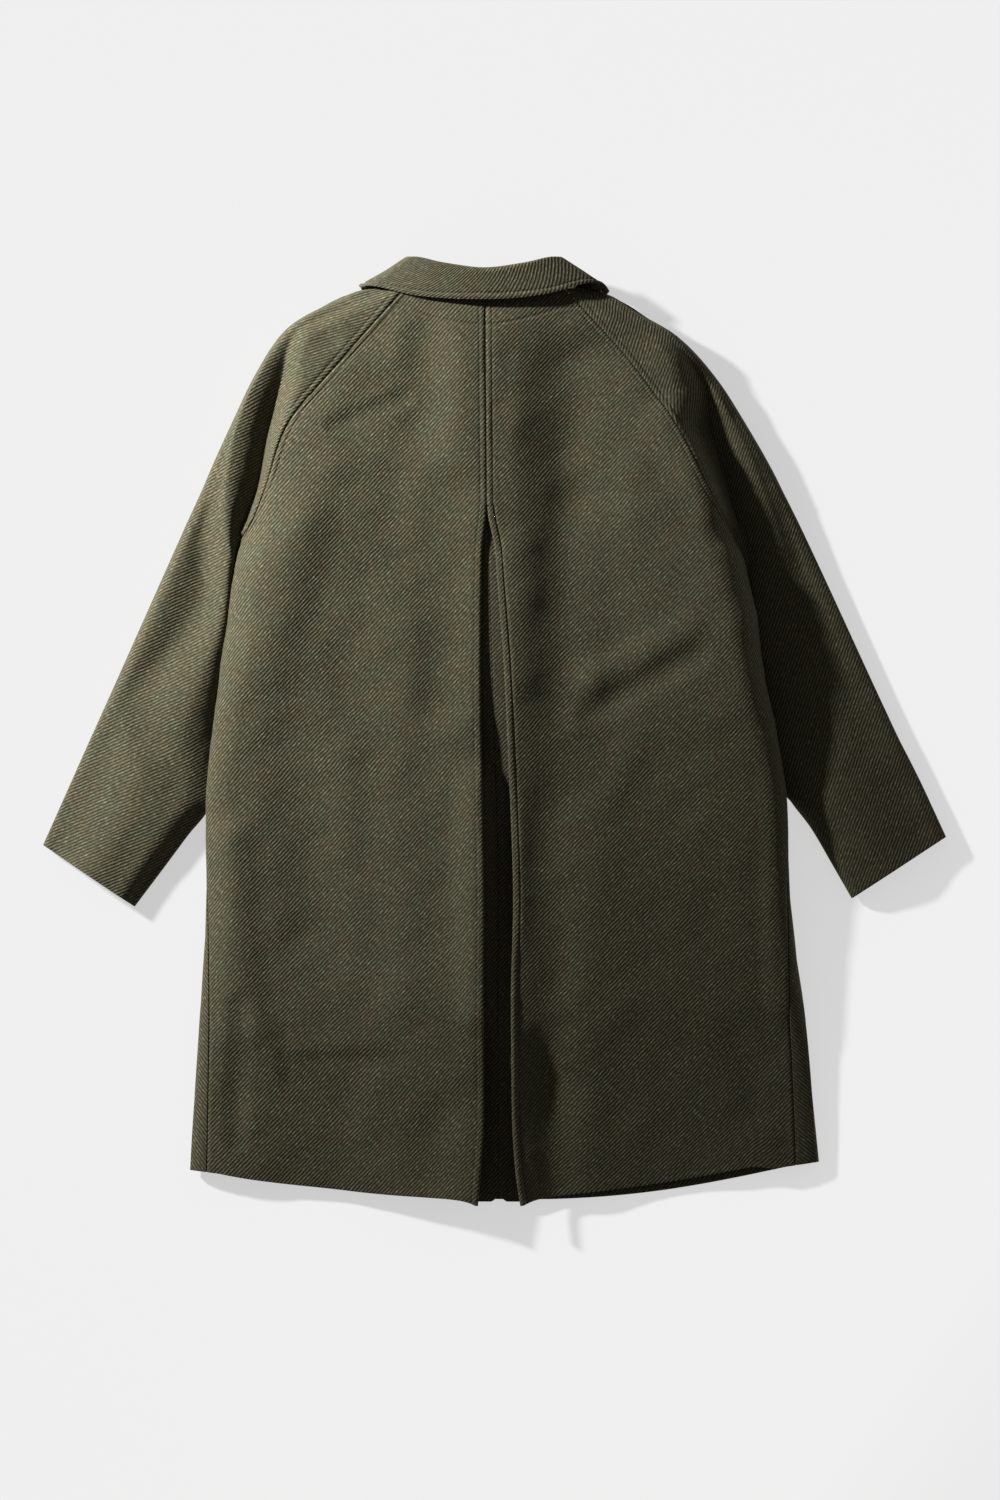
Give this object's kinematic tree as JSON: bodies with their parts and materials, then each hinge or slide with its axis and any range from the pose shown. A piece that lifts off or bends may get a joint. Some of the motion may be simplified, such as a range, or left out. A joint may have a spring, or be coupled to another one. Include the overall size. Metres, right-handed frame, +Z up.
{
  "type": "raglan overcoat laid flat",
  "caption": "Knee-length wool overcoat lying face down: raglan sleeves, folded collar and a long inverted pleat down the back, a hollow of thin cloth open at neck, hem and cuffs.",
  "frame": {"origin": "middle of the coat's box seen from above, on the surface it lies on", "axes": "+Z up through the back, +Y from the hem towards the collar, +X towards the right sleeve seen from above"},
  "size_m": [0.995, 1.0463, 0.0781],
  "materials": {
    "coat_wool": "olive brown wool twill",
    "pleat_wool": "olive brown wool twill, inside the pleat"
  },
  "bodies": {
    "root": {"back_left": "coat_wool", "back_right": "coat_wool", "pleat_underlay_left": "pleat_wool", "pleat_underlay_right": "pleat_wool", "front_left": "coat_wool", "front_right": "coat_wool", "sleeve_back_left": "coat_wool", "sleeve_back_right": "coat_wool", "sleeve_front_left": "coat_wool", "sleeve_front_right": "coat_wool", "collar": "coat_wool"}
  },
  "joints": []
}
